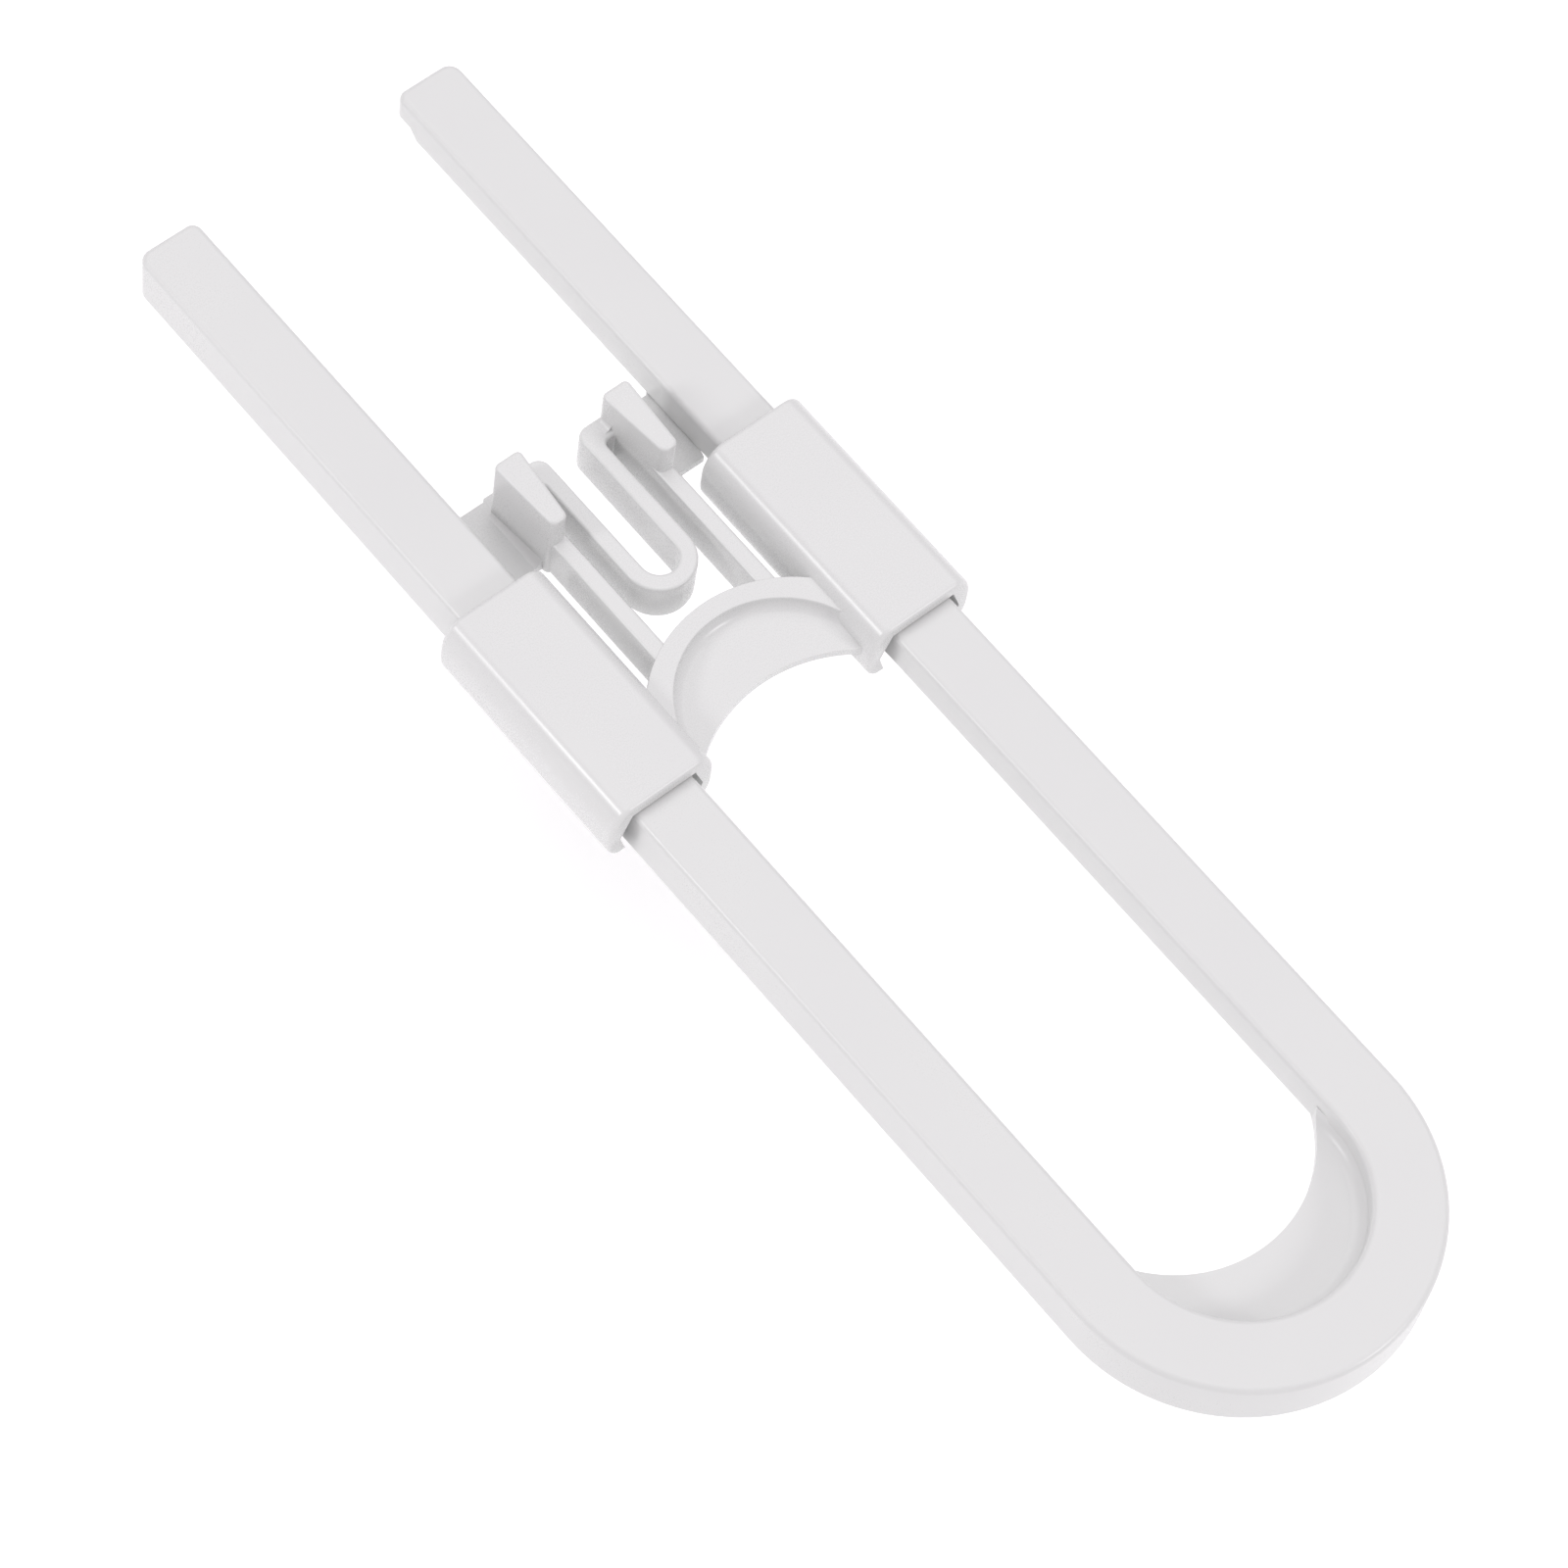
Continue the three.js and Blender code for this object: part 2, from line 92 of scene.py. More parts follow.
SEAM_GAP = 0.3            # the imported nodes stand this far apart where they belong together
BEND_Y = leg_low.y - SEAM_GAP / 2
LEG_MID = (leg_low.x + leg_high.x) / 2
print("leg:", round(leg_high.x - leg_low.x, 2), "wide; sleeve:",
      round(sleeve_high.y - sleeve_low.y, 2), "long")

# %% [markdown]
# ## Helpers for moulded solids
#
# A moulding is mostly made of flat plates with rounded corners. Each one starts as a face
# with a few sharp corners. Bevelling a corner of a lone face turns it into an arc, and
# extruding the face gives a solid whose outline stays editable as a short list of corners.

# %% Faces, corners and extrusions
ROUND_SEGMENTS = 8
SOFT_SEGMENTS = 3
CIRCLE_STEPS = 192
CLOSE = 0.02 * MM         # corners nearer than this are one corner
TOUCH = 0.01              # the same sort of nearness, in millimetres
BAND = 0.05               # an edge this near a face, in millimetres, lies on it
SHARP_ANGLE = 35          # edges that turn more than this, in degrees, get rounded
PAST = 1.0                # how far a cutter runs past the solid that it cuts


def sharp_face(corners, across):
    """A bmesh with one face. across places a corner's two numbers in space."""
    bm = bmesh.new()
    bm.faces.new([bm.verts.new(Vector(across(a, b)) * MM) for a, b in corners])
    return bm


def round_corners(bm, picked, radius, segments=ROUND_SEGMENTS):
    """Bevels the corners that picked() chooses, in millimetres."""
    corners = [v for v in bm.verts if picked(v.co / MM)]
    bmesh.ops.bevel(bm, geom=corners, offset=radius * MM, offset_type="OFFSET",
                    segments=segments, profile=0.5, affect="VERTICES", material=-1)
    bmesh.ops.remove_doubles(bm, verts=bm.verts, dist=CLOSE)
    return bm


def extrude(bm, run):
    """Extrudes everything by a run in millimetres and turns the faces outwards."""
    grown = bmesh.ops.extrude_face_region(bm, geom=bm.faces[:], use_keep_orig=True)
    moved = [e for e in grown["geom"] if isinstance(e, bmesh.types.BMVert)]
    bmesh.ops.translate(bm, verts=moved, vec=Vector(run) * MM)
    bmesh.ops.recalc_face_normals(bm, faces=bm.faces)
    return bm


def soften(bm, width, picked=lambda middle: True, segments=SOFT_SEGMENTS):
    """Rounds the sharp edges whose middle picked() accepts."""
    limit = math.radians(SHARP_ANGLE)
    edges = []
    for edge in bm.edges:
        middle = (edge.verts[0].co + edge.verts[1].co) / 2 / MM
        if len(edge.link_faces) == 2 and edge.calc_face_angle() > limit and picked(middle):
            edges.append(edge)
    bmesh.ops.bevel(bm, geom=edges, offset=width * MM, offset_type="OFFSET",
                    segments=segments, profile=0.5, affect="EDGES", material=-1,
                    clamp_overlap=True, miter_outer="SHARP")
    return bm


# %% [markdown]
# Five simple solids are enough for the whole lock: a plate, a bar, a box, a disc, and a ring
# that is spun from its section. A ring's section keeps only its outline for the spin, so
# that no face is left inside.

# %% Plates, bars, discs and rings


def slab(corners, low, high, rounds=(), width=0):
    """A plate with its outline in X and Y. rounds holds ((x, y), radius) pairs."""
    bm = sharp_face(corners, lambda x, y: (x, y, low))
    for (x, y), radius in rounds:
        round_corners(bm, lambda p, x=x, y=y: (p.xy - Vector((x, y))).length < TOUCH, radius)
    extrude(bm, (0, 0, high - low))
    return soften(bm, width) if width else bm


def bar(corners, start, end, rounds=(), width=0):
    """A section in X and Z, run along Y."""
    bm = sharp_face(corners, lambda x, z: (x, start, z))
    for (x, z), radius in rounds:
        round_corners(bm, lambda p, x=x, z=z: (p.xz - Vector((x, z))).length < TOUCH, radius)
    extrude(bm, (0, end - start, 0))
    return soften(bm, width) if width else bm


def block(low, high, width=0):
    """A box from one corner to the other."""
    outline = [(low[0], low[1]), (high[0], low[1]), (high[0], high[1]), (low[0], high[1])]
    return slab(outline, low[2], high[2], width=width)


def disc(centre_y, radius, low, high):
    """A round plate on the middle plane, with its corners on a circle."""
    bm = bmesh.new()
    place = Matrix.Translation(Vector((0, centre_y, low)) * MM)
    bmesh.ops.create_circle(bm, cap_ends=True, segments=CIRCLE_STEPS, radius=radius * MM,
                            matrix=place)
    return extrude(bm, (0, 0, high - low))


def ring(section, centre_y, rounds=()):
    """A section of distances and heights, spun a full turn about an upright axis."""
    bm = sharp_face(section, lambda x, z: (x, centre_y, z))
    for (x, z), radius in rounds:
        round_corners(bm, lambda p, x=x, z=z: (p.xz - Vector((x, z))).length < TOUCH, radius)
    bmesh.ops.delete(bm, geom=bm.faces[:], context="FACES_ONLY")
    bmesh.ops.spin(bm, geom=bm.verts[:] + bm.edges[:], cent=(0, centre_y * MM, 0),
                   axis=(0, 0, 1), angle=2 * math.pi, steps=CIRCLE_STEPS, use_merge=True)
    bmesh.ops.remove_doubles(bm, verts=bm.verts, dist=CLOSE)
    bmesh.ops.recalc_face_normals(bm, faces=bm.faces)
    return bm


def mirrored(bm):
    """The same solid on the other side of the middle plane."""
    other = bm.copy()
    bmesh.ops.scale(other, vec=(-1, 1, 1), verts=other.verts)
    bmesh.ops.recalc_face_normals(other, faces=other.faces)
    return other


# %% [markdown]
# ## Joining solids
#
# Steel moulds leave no seam between a rib and a wall. Overlapping solids are therefore
# joined into one skin with exact Booleans, which leaves a clean inner corner.

# %% Keep a mesh, and join solids into one
CREASE = math.radians(32) # edges sharper than this stay crisp
FLAT = math.radians(0.3)  # faces that turn less than this become one
FACE_AREA_WEIGHT = 90


def keep(name, bm):
    """Turns a bmesh into an object in the scene."""
    mesh = bpy.data.meshes.new(name)
    bm.to_mesh(mesh)
    bm.free()
    piece = bpy.data.objects.new(name, mesh)
    bpy.context.scene.collection.objects.link(piece)
    return piece


def moulding(name, solids, cuts=()):
    """One closed skin made of overlapping solids, less the cuts."""
    piece = keep(name, solids[0])
    helpers = []
    for operation, group in (("UNION", solids[1:]), ("DIFFERENCE", cuts)):
        for solid in group:
            helper = keep(name + "_helper", solid)
            step = piece.modifiers.new(operation, "BOOLEAN")
            step.operation = operation
            step.solver = "EXACT"
            step.object = helper
            helpers.append(helper)
    graph = bpy.context.evaluated_depsgraph_get()
    joined = bpy.data.meshes.new_from_object(piece.evaluated_get(graph), depsgraph=graph)
    piece.modifiers.clear()
    first = piece.data
    piece.data = joined
    bpy.data.meshes.remove(first)
    joined.name = name
    for helper in helpers:
        spare = helper.data
        bpy.data.objects.remove(helper)
        bpy.data.meshes.remove(spare)
    return piece


def released(piece):
    """The bmesh of a joined helper, which is removed from the scene."""
    bm = bmesh.new()
    bm.from_mesh(piece.data)
    spare = piece.data
    bpy.data.objects.remove(piece)
    bpy.data.meshes.remove(spare)
    return bm


# %% [markdown]
# A Boolean leaves flat faces in many triangles. Dissolving them gives long clean faces
# again. Only edges that turn sharply stay crisp, and weighted normals let the large faces
# decide the shading, so that a flat top stays flat beside its rounded edge.

# %% Finish a skin


def finish_mesh(piece, extra=None):
    """Merges flat neighbours, lets extra() round edges, and sets the shading."""
    bm = bmesh.new()
    bm.from_mesh(piece.data)
    bmesh.ops.remove_doubles(bm, verts=bm.verts, dist=CLOSE / 4)
    bmesh.ops.dissolve_limit(bm, angle_limit=FLAT, verts=bm.verts,
                             edges=bm.edges, use_dissolve_boundaries=False)
    if extra:
        extra(bm)
    bmesh.ops.recalc_face_normals(bm, faces=bm.faces)
    loose = sum(1 for e in bm.edges if len(e.link_faces) != 2)
    for face in bm.faces:
        face.smooth = True
    for edge in bm.edges:
        edge.smooth = len(edge.link_faces) == 2 and edge.calc_face_angle() < CREASE
    bm.to_mesh(piece.data)
    print(piece.name, len(bm.faces), "faces,", loose, "open edges")
    bm.free()
    even = piece.modifiers.new("even_shading", "WEIGHTED_NORMAL")
    even.keep_sharp = True
    even.weight = FACE_AREA_WEIGHT
    return piece


# %% [markdown]
# ## The bow
#
# The bow is an open channel: an outer wall, a flat top and a shorter inner wall. Drawing the
# section once, extruding it down one leg, spinning it round the bend and extruding it up the
# other leg keeps the wall the same all the way, as a mould would.

# %% Bow channel
OUTER_WALL = 2.0
INNER_WALL = 1.8
TOP_WALL = 2.2
INNER_LIFT = 2.9
LEG_ROUND = 1.0
LEG_ROUND_SEGMENTS = 5
BEND_STEPS = 64

roof = leg_high.z - TOP_WALL
lip = leg_low.z + INNER_LIFT


def channel():
    """The bow's channel, from the left leg's tip round the bend to the right leg's tip."""
    section = [(-leg_high.x, leg_low.z), (-leg_high.x, leg_high.z), (-leg_low.x, leg_high.z),
               (-leg_low.x, lip), (-leg_low.x - INNER_WALL, lip),
               (-leg_low.x - INNER_WALL, roof), (-leg_high.x + OUTER_WALL, roof),
               (-leg_high.x + OUTER_WALL, leg_low.z)]
    bm = sharp_face(section, lambda x, z: (x, leg_high.y, z))
    round_corners(bm, lambda p: p.z > leg_high.z - TOUCH, LEG_ROUND, LEG_ROUND_SEGMENTS)
    end = run_leg(bm, bm.faces[:], -1)
    turned = bmesh.ops.spin(bm, geom=end, cent=(0, BEND_Y * MM, 0), axis=(0, 0, 1),
                            angle=math.pi, steps=BEND_STEPS, use_merge=False)
    end = [e for e in turned["geom_last"] if isinstance(e, bmesh.types.BMFace)]
    run_leg(bm, end, 1)
    inside = [f for f in bm.faces if all(abs(v.co.y - BEND_Y * MM) < CLOSE for v in f.verts)]
    bmesh.ops.delete(bm, geom=inside, context="FACES_ONLY")
    bmesh.ops.recalc_face_normals(bm, faces=bm.faces)
    return bm


def run_leg(bm, face, way):
    """Extrudes the section along one leg and returns its new end."""
    grown = bmesh.ops.extrude_face_region(bm, geom=face)["geom"]
    verts = [e for e in grown if isinstance(e, bmesh.types.BMVert)]
    length = way * (leg_high.y - BEND_Y)
    bmesh.ops.translate(bm, verts=verts, vec=(0, length * MM, 0))
    return [e for e in grown if isinstance(e, bmesh.types.BMFace)]


# %% [markdown]
# The tips are closed by an end wall. Their corners are rounded in plan and along the top,
# which is easiest as a cut: a block, less a leg with rounded corners, takes off only what
# stands outside. Under each inner corner a small notch leads the pawls into the racks when
# the slide is pushed on. Thin ribs behind the racks stiffen the long top wall.

# %% Leg tips and ribs
TIP_WALL = 2.0
TIP_OUTER_CORNER = 2.4
TIP_INNER_CORNER = 1.8
TIP_RUN = 6.0             # length of the cut that rounds a tip
TIP_SLACK = 0.003         # keeps the rounded shape just off the leg's flat faces
NOTCH_LENGTH = 4.0
NOTCH_RISE = 1.8
RIB_COUNT = 6
RIB_THICKNESS = 1.2
LAP = 0.5                 # how far a wall or rib runs into the one that it joins

tip = leg_high.y


def tip_walls():
    """End wall of the right leg."""
    inner, outer = leg_low.x + TOUCH, leg_high.x - TOUCH
    return [block((inner, tip - TIP_WALL, lip), (outer, tip, roof + LAP)),
            block((rack_high.x, tip - TIP_WALL, leg_low.z), (outer, tip, lip + LAP))]


def ribs():
    """Cross ribs of the right leg, behind the rack."""
    run = (tip - TIP_WALL - BEND_Y) / (RIB_COUNT + 1)
    return [block((rack_high.x + SEAM_GAP, BEND_Y + i * run, leg_low.z + SEAM_GAP),
                  (leg_high.x - OUTER_WALL + LAP, BEND_Y + i * run + RIB_THICKNESS, roof + LAP))
            for i in range(1, RIB_COUNT + 1)]


def tip_cuts():
    """What rounds the right leg's tip, and the notch under its inner corner."""
    rough = block((leg_low.x - PAST, tip - TIP_RUN, leg_low.z - PAST),
                  (leg_high.x + PAST, tip + PAST, leg_high.z + PAST))
    inner, outer, end = leg_low.x - TIP_SLACK, leg_high.x + TIP_SLACK, tip + TIP_SLACK
    start = tip - TIP_RUN - 3 * PAST
    rounded = slab([(inner, start), (outer, start), (outer, end), (inner, end)],
                   leg_low.z - 2 * PAST, leg_high.z + TIP_SLACK,
                   [((outer, end), TIP_OUTER_CORNER), ((inner, end), TIP_INNER_CORNER)])
    soften(rounded, LEG_ROUND, lambda p: p.z > leg_high.z - BAND, segments=LEG_ROUND_SEGMENTS)
    side = [(tip - NOTCH_LENGTH - NOTCH_RISE, lip - PAST), (tip + PAST, lip - PAST),
            (tip + PAST, lip + NOTCH_RISE), (tip - NOTCH_LENGTH, lip + NOTCH_RISE),
            (tip - NOTCH_LENGTH - NOTCH_RISE, lip)]
    notch = sharp_face(side, lambda y, z: (leg_low.x - PAST, y, z))
    return [released(moulding("tip_cutter", [rough], [rounded])),
            extrude(notch, (PAST + INNER_WALL, 0, 0))]


print("channel:", round(leg_high.z - leg_low.z, 2), "high; racks end at", round(rack_high.y, 1))

# %% [markdown]
# The thumb web is a thin crescent inside the bend. Its free edge is the arc of a larger
# circle, and a soft fillet carries it up to the wall of the bend, where the thumb presses.
# It is cut on its own before it is joined to the bow, so that the cut leaves the legs alone.

# %% Thumb web
WEB_EDGE_RADIUS = 22.9
WEB_WIDTH = 12.4
WEB_FILLET = 2.4
WEB_HOLE = 5.0            # hole in the spun plate, which the cut removes
WEB_SINK = 0.06           # how far the fillet's top is sunk into the wall
WEB_FILLET_RUN = 0.3      # how far the fillet's wall runs on above it
WEB_HORN = 2.0            # the free edge stays crisp this near the bend's wall
WEB_EDGE_SOFT = 0.4

edge_centre = BEND_Y - leg_low.x + WEB_WIDTH + WEB_EDGE_RADIUS


def thumb_web():
    """The crescent between the bend's inner wall and the thumb's edge."""
    reach = leg_low.x + INNER_WALL / 2
    fillet_top = web_high.z + WEB_FILLET + WEB_FILLET_RUN
    wall = leg_low.x + WEB_SINK
    section = [(WEB_HOLE, web_low.z), (reach, web_low.z), (reach, fillet_top),
               (wall, fillet_top), (wall, web_high.z), (WEB_HOLE, web_high.z)]
    inner_corner = ((wall, web_high.z), WEB_FILLET)
    side = bar(section, BEND_Y, BEND_Y + WEB_HOLE, [inner_corner])
    whole = [ring(section, BEND_Y, [inner_corner]), side, mirrored(side)]
    cut = [disc(edge_centre, WEB_EDGE_RADIUS, web_low.z - PAST, fillet_top + PAST),
           block((-reach - PAST, BEND_Y + WEB_HOLE, web_low.z - PAST),
                 (reach + PAST, edge_centre, fillet_top + PAST))]
    return released(moulding("web_plate", whole, cut))


def soft_web_edge(bm):
    """Rounds the web's free edge, which lies on a known circle."""
    def at_free_edge(p):
        near = abs(math.hypot(p.x, p.y - edge_centre) - WEB_EDGE_RADIUS) < BAND
        level = web_low.z - BAND < p.z < web_high.z + BAND
        return near and level and p.y < BEND_Y + WEB_HOLE and abs(p.x) < leg_low.x - WEB_HORN

    soften(bm, WEB_EDGE_SOFT, at_free_edge)


print("web edge:", round(edge_centre - WEB_EDGE_RADIUS - BEND_Y + leg_low.x, 2),
      "from the bend's wall")

# %% [markdown]
# Everything on the right is copied across the middle plane, the solids become one skin, and
# the cuts are made last, so that they go through channel and end wall alike.

# %% Build the bow
solids = [channel(), thumb_web()]
cuts = []
for right in (*tip_walls(), *ribs()):
    solids += [mirrored(right), right]
for right in tip_cuts():
    cuts += [mirrored(right), right]
bow = finish_mesh(moulding("bow_moulding", solids, cuts), soft_web_edge)
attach(bow, "bow")
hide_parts("left_leg", "right_leg", "bow_bend", "thumb_web")

# %% [markdown]
# ## The sleeves
#
# Each sleeve wraps a leg. Its upper sides fall away in a tall soft curve and its foot tucks
# in. A section whose corners are rounded as circles and then stretched upwards gives that
# curve. The bore is close to the leg at the top, widens downwards to a knee, where the leg
# shows a dark slit beside it, and closes again at the strap.

# %% Sleeve
SHOULDER = 3.6
FOOT = 2.25
SHOULDER_HEIGHT = 6.0
SHOULDER_STRETCH = SHOULDER_HEIGHT / SHOULDER
SHOULDER_SEGMENTS = 10
FOOT_SEGMENTS = 6
END_SOFT = 0.8
END_SEGMENTS = 5
BORE_TOP = 0.35           # clearance beside and above the leg at its top
BORE_SIDE = 2.3           # clearance at the knee
BORE_FOOT = 0.8           # clearance at the strap
BORE_KNEE = 4.5
STRAP_SETBACK = 3.6
STRAP = 1.65
STRAP_SOFT = 0.35


def sleeve():
    """Right sleeve: its outside, and its strap under the leg."""
    low = STRAP / SHOULDER_STRETCH
    high = sleeve_high.z / SHOULDER_STRETCH
    section = [(sleeve_low.x, low), (sleeve_high.x, low), (sleeve_high.x, high),
               (sleeve_low.x, high)]
    bm = sharp_face(section, lambda x, z: (x, sleeve_low.y, z))
    round_corners(bm, lambda p: p.z > high - TOUCH, SHOULDER, SHOULDER_SEGMENTS)
    round_corners(bm, lambda p: p.z < low + TOUCH, FOOT, FOOT_SEGMENTS)
    bmesh.ops.scale(bm, vec=(1, 1, SHOULDER_STRETCH), verts=bm.verts)
    extrude(bm, (0, sleeve_high.y - sleeve_low.y, 0))
    soften(bm, END_SOFT, segments=END_SEGMENTS)
    strap = block((sleeve_low.x + FOOT, sleeve_low.y + STRAP_SETBACK, 0),
                  (sleeve_high.x - FOOT, sleeve_high.y - STRAP_SETBACK, STRAP + 1), STRAP_SOFT)
    return [bm, strap]


def sleeve_bore():
    """The hole through the right sleeve."""
    half = (leg_high.x - leg_low.x) / 2
    low, high, knee = STRAP, leg_high.z + BORE_TOP, leg_low.z + BORE_KNEE
    right = [(half + BORE_FOOT, low), (half + BORE_SIDE, knee), (half + BORE_TOP, high)]
    left = [(-x, z) for x, z in reversed(right)]
    section = [(LEG_MID + x, z) for x, z in right + left]
    return bar(section, sleeve_low.y - PAST, sleeve_high.y + PAST)


print("sleeve:", round(sleeve_high.x - sleeve_low.x, 2), "x", round(sleeve_high.z, 2))

# %% [markdown]
# ## The arch
#
# The arch joins the sleeves. Its rim is a thick crescent between two circles with different
# centres, and a thin floor hangs below it for the finger. The step between rim and floor is
# a soft hollow curve, made by bevelling their inner corner.

# %% Arch
RIM_OUTER_RADIUS = 23.8
RIM_INNER_RADIUS = 17.5
RIM_INNER_CENTRE = 6.3
FLOOR_EDGE_RADIUS = 26.2
STEP_FILLET = 2.0
FLOOR_HOLE = 4.0          # hole in the spun floor, which the cuts remove
FLOOR_EDGE_RISE = 7.4     # from the sleeves' mouths to the middle of the floor's edge
FLOOR_UNDER_RIM = 1.2     # how far the floor runs on under the rim
FLOOR_START = 0.4         # the floor's horns start this far from the sleeves' mouths
FLOOR_BACK = 8.0          # the free edge lies further than this from the floor's back
STEP_RUN = 0.1            # how far the step's wall runs on above its arc
ARCH_SINK = 0.9           # how far rim and floor run into the sleeves
RIM_LIP = 0.45
FLOOR_LIP = 0.6
FAR = 60.0                # beyond everything, for the cutting blocks

rim_centre = rim_high.y - RIM_OUTER_RADIUS
floor_centre = sleeve_low.y + FLOOR_EDGE_RISE - FLOOR_EDGE_RADIUS
reach = sleeve_low.x + ARCH_SINK


def beside_arch(low, high):
    """The two blocks that cut the arch off inside the sleeves."""
    right = block((reach, -FAR, low), (FAR, FAR, high))
    return [mirrored(right), right]


def rim():
    """The crescent between the sleeves."""
    low, high = rim_low.z - PAST, rim_high.z + PAST
    cuts = [disc(RIM_INNER_CENTRE, RIM_INNER_RADIUS, low, high),
            block((-FAR, -FAR, low), (FAR, RIM_INNER_CENTRE, high)), *beside_arch(low, high)]
    outside = [disc(rim_centre, RIM_OUTER_RADIUS, rim_low.z, rim_high.z)]
    bm = released(moulding("rim_plate", outside, cuts))
    return soften(bm, RIM_LIP, lambda p: abs(p.x) < reach - BAND)


def arch_floor():
    """The thin floor under the rim, with the hollow step up to it."""
    outer = RIM_INNER_RADIUS + FLOOR_UNDER_RIM
    step_top = floor_high.z + STEP_FILLET + STEP_RUN
    section = [(FLOOR_HOLE, floor_low.z), (outer, floor_low.z), (outer, step_top),
               (RIM_INNER_RADIUS, step_top), (RIM_INNER_RADIUS, floor_high.z),
               (FLOOR_HOLE, floor_high.z)]
    plate = [ring(section, RIM_INNER_CENTRE, [((RIM_INNER_RADIUS, floor_high.z), STEP_FILLET)])]
    low, high = floor_low.z - PAST, step_top + PAST
    cuts = [disc(floor_centre, FLOOR_EDGE_RADIUS, low, high), *beside_arch(low, high),
            block((-FAR, -FAR, low), (FAR, sleeve_low.y + FLOOR_START, high))]
    bm = released(moulding("floor_plate", plate, cuts))
    return soften(bm, FLOOR_LIP, lambda p: p.y < floor_high.y - FLOOR_BACK
                  and abs(p.x) < reach - 2 * BAND)


print("arch:", round(2 * RIM_INNER_RADIUS, 1), "wide inside its rim")

# %% [markdown]
# The bores are cut last, through the sleeves and all that is joined to them, so that
# nothing can stand in a leg's way.

# %% Build the slide
outside = sleeve()
solids = [mirrored(part) for part in outside] + outside + [rim(), arch_floor()]
bores = [sleeve_bore()]
bores.append(mirrored(bores[0]))
slide = finish_mesh(moulding("slide_moulding", solids, bores))
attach(slide, "slide")
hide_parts("left_sleeve", "right_sleeve", "arch_rim", "arch_floor")

# %% [markdown]
# ## The latches
#
# A squeeze arm rises from the rim, turns back at its tip and comes down as a limb of the
# U-shaped spring. It is one wavy strip in plan, so it is drawn as one outline, and every
# turn is a corner bevelled into an arc. A tall tab for the finger stands on its end, and a
# hollow fillet joins the arm to the thin pawl plate.

# %% Latch strips
ARM_SINK = 0.1            # the strip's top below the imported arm's
ARM_ROOT = 22.8           # where the arm starts, inside the rim
STRIP_SOFT = 0.55
FAR_CORNER = 2.2
SLOT_CORNER = 1.1
FAR_REACH = 0.5           # the strip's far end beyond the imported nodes
ARC_SLACK = 0.005         # leaves a trace of straight edge before the middle plane
SPRING_INNER = limb_low.x
SPRING_OUTER = spring_high.x

strip_top = arm_high.z - ARM_SINK


def latch_strip():
    """Right-hand arm, turn, limb and half of the spring's bend."""
    y_out, y_in = spring_low.y, spring_low.y + SPRING_OUTER - SPRING_INNER
    slot_y = turn_low.y
    far = tab_high.y + FAR_REACH
    outline = [(0, y_out), (SPRING_OUTER, y_out), (SPRING_OUTER, slot_y), (arm_low.x, slot_y),
               (arm_low.x, ARM_ROOT), (arm_high.x, ARM_ROOT), (arm_high.x, far),
               (SPRING_INNER, far), (SPRING_INNER, y_in), (0, y_in)]
    rounds = [((SPRING_OUTER, y_out), SPRING_OUTER - ARC_SLACK),
              ((SPRING_INNER, y_in), SPRING_INNER - ARC_SLACK),
              ((SPRING_OUTER, slot_y), SLOT_CORNER), ((arm_low.x, slot_y), SLOT_CORNER),
              ((SPRING_INNER, far), FAR_CORNER)]
    bm = slab(outline, arm_low.z, strip_top, rounds)
    return soften(bm, STRIP_SOFT, lambda p: abs(p.x) > TOUCH and p.y > ARM_ROOT + 2 * BAND)


print("spring bend:", round(SPRING_OUTER, 2), "outside radius,", round(SPRING_INNER, 2), "inside")

# %% [markdown]
# The tab is wider at its far end, where the finger pushes, and its sides flare to both
# sides there. A fillet fills the corner between it and the turn of the strip, as a mould
# needs it to. A second, larger one stiffens the pawl plate, which starts under the arm.

# %% Tabs and pawl roots
TAB_CORNER = 1.0
TAB_SOFT = 0.6
TAB_SOFT_SEGMENTS = 4
TAB_SHIFT = 0.4           # the tab's near end stands a little outside the arm's middle
TAB_FLARE = 1.2           # how much further out its far end reaches
TAB_SPREAD = 1.0          # how much further in its far end reaches
TAB_FILLET = 1.6
TAB_FILLET_SINK = 0.35    # how far the fillet's wall is sunk into the tab
TAB_FILLET_BACK = 0.6     # how far its back lies behind that wall
TAB_FILLET_FOOT = 1.0     # and its foot below the strip's top
TAB_FILLET_RUN = 0.3      # how far its section runs on past its arc
TAB_FILLET_START = 0.9    # from the slot's end
TAB_FILLET_END = 0.3      # from the turn's far face
PAWL_FILLET = 2.5
PAWL_FILLET_BACK = 0.5
PAWL_FILLET_LIFT = 0.1
PAWL_FILLET_RUN = 0.4
PAWL_FILLET_END = 0.3
PAWL_TOP = 1.45           # the pawl plate's top above its underside
PAWL_SKIN = 0.04          # the hidden root is this much thinner on each face
PAWL_END_SKIN = 0.02
PAWL_ROOT_IN = 0.3        # from the arm's inner face
PAWL_LAP = 0.2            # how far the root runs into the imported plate


def tab():
    """The right-hand finger tab, which widens towards its far end."""
    near_y, far_y = tab_low.y, tab_high.y + FAR_REACH
    outline = [(tab_low.x + TAB_SHIFT, near_y), (tab_high.x + TAB_SHIFT, near_y),
               (tab_high.x + TAB_FLARE, far_y), (tab_low.x - TAB_SPREAD, far_y)]
    bm = slab(outline, arm_low.z, tab_high.z, [(corner, TAB_CORNER) for corner in outline])
    return soften(bm, TAB_SOFT, lambda p: p.z > tab_high.z - BAND, segments=TAB_SOFT_SEGMENTS)


